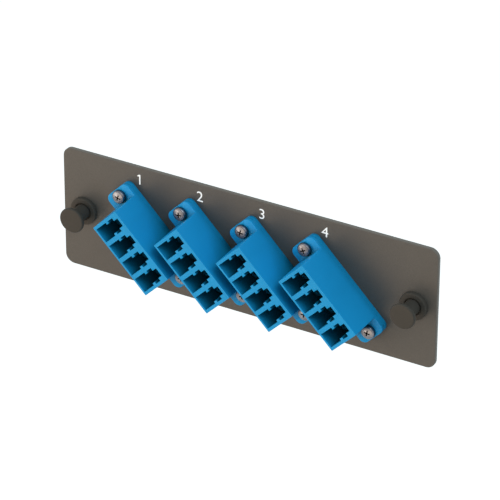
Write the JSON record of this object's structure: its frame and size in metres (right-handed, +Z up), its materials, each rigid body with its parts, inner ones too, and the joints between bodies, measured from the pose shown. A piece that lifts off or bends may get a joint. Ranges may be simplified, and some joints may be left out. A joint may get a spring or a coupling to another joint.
{
  "type": "fibre optic coupler panel",
  "caption": "Flat plate with a slanting row of blue optical fibre couplers, each with stepped plug ports, and a push-pull latch at each end.",
  "frame": {"origin": "middle of the plate's back face", "axes": "+X along the plate, +Y backwards into the housing that the plate closes, +Z up"},
  "size_m": [0.127, 0.0255, 0.04],
  "materials": {
    "plate_coating": "dark warm grey powder coat, semi-matt, on steel sheet",
    "coupler_plastic": "moulded blue plastic with a soft sheen",
    "sleeve_ceramic": "polished off-white ceramic",
    "screw_metal": "bright nickel plate",
    "nut_metal": "zinc plated steel",
    "latch_nylon": "moulded dark grey nylon, slightly satin"
  },
  "bodies": {
    "panel": {"plate": "plate_coating", "mounting_screws": "screw_metal", "mounting_nuts": "nut_metal", "coupler_1_front_housing": "coupler_plastic", "coupler_1_rear_housing": "coupler_plastic", "coupler_2_front_housing": "coupler_plastic", "coupler_2_rear_housing": "coupler_plastic", "coupler_3_front_housing": "coupler_plastic", "coupler_3_rear_housing": "coupler_plastic", "coupler_4_front_housing": "coupler_plastic", "coupler_4_rear_housing": "coupler_plastic", "coupler_1_sleeve_1": "sleeve_ceramic", "coupler_1_sleeve_2": "sleeve_ceramic", "coupler_1_sleeve_3": "sleeve_ceramic", "coupler_1_sleeve_4": "sleeve_ceramic", "coupler_2_sleeve_1": "sleeve_ceramic", "coupler_2_sleeve_2": "sleeve_ceramic", "coupler_2_sleeve_3": "sleeve_ceramic", "coupler_2_sleeve_4": "sleeve_ceramic", "coupler_3_sleeve_1": "sleeve_ceramic", "coupler_3_sleeve_2": "sleeve_ceramic", "coupler_3_sleeve_3": "sleeve_ceramic", "coupler_3_sleeve_4": "sleeve_ceramic", "coupler_4_sleeve_1": "sleeve_ceramic", "coupler_4_sleeve_2": "sleeve_ceramic", "coupler_4_sleeve_3": "sleeve_ceramic", "coupler_4_sleeve_4": "sleeve_ceramic", "left_latch_grommet": "latch_nylon", "right_latch_grommet": "latch_nylon"},
    "left_knob": {"left_latch_plunger": "latch_nylon"},
    "right_knob": {"right_latch_plunger": "latch_nylon"}
  },
  "joints": [
    {"name": "left_knob_pull", "type": "slide", "parent": "panel", "child": "left_knob", "axis": [0, -1, 0], "range_m": [0, 0.004]},
    {"name": "right_knob_pull", "type": "slide", "parent": "panel", "child": "right_knob", "axis": [0, -1, 0], "range_m": [0, 0.004]}
  ]
}
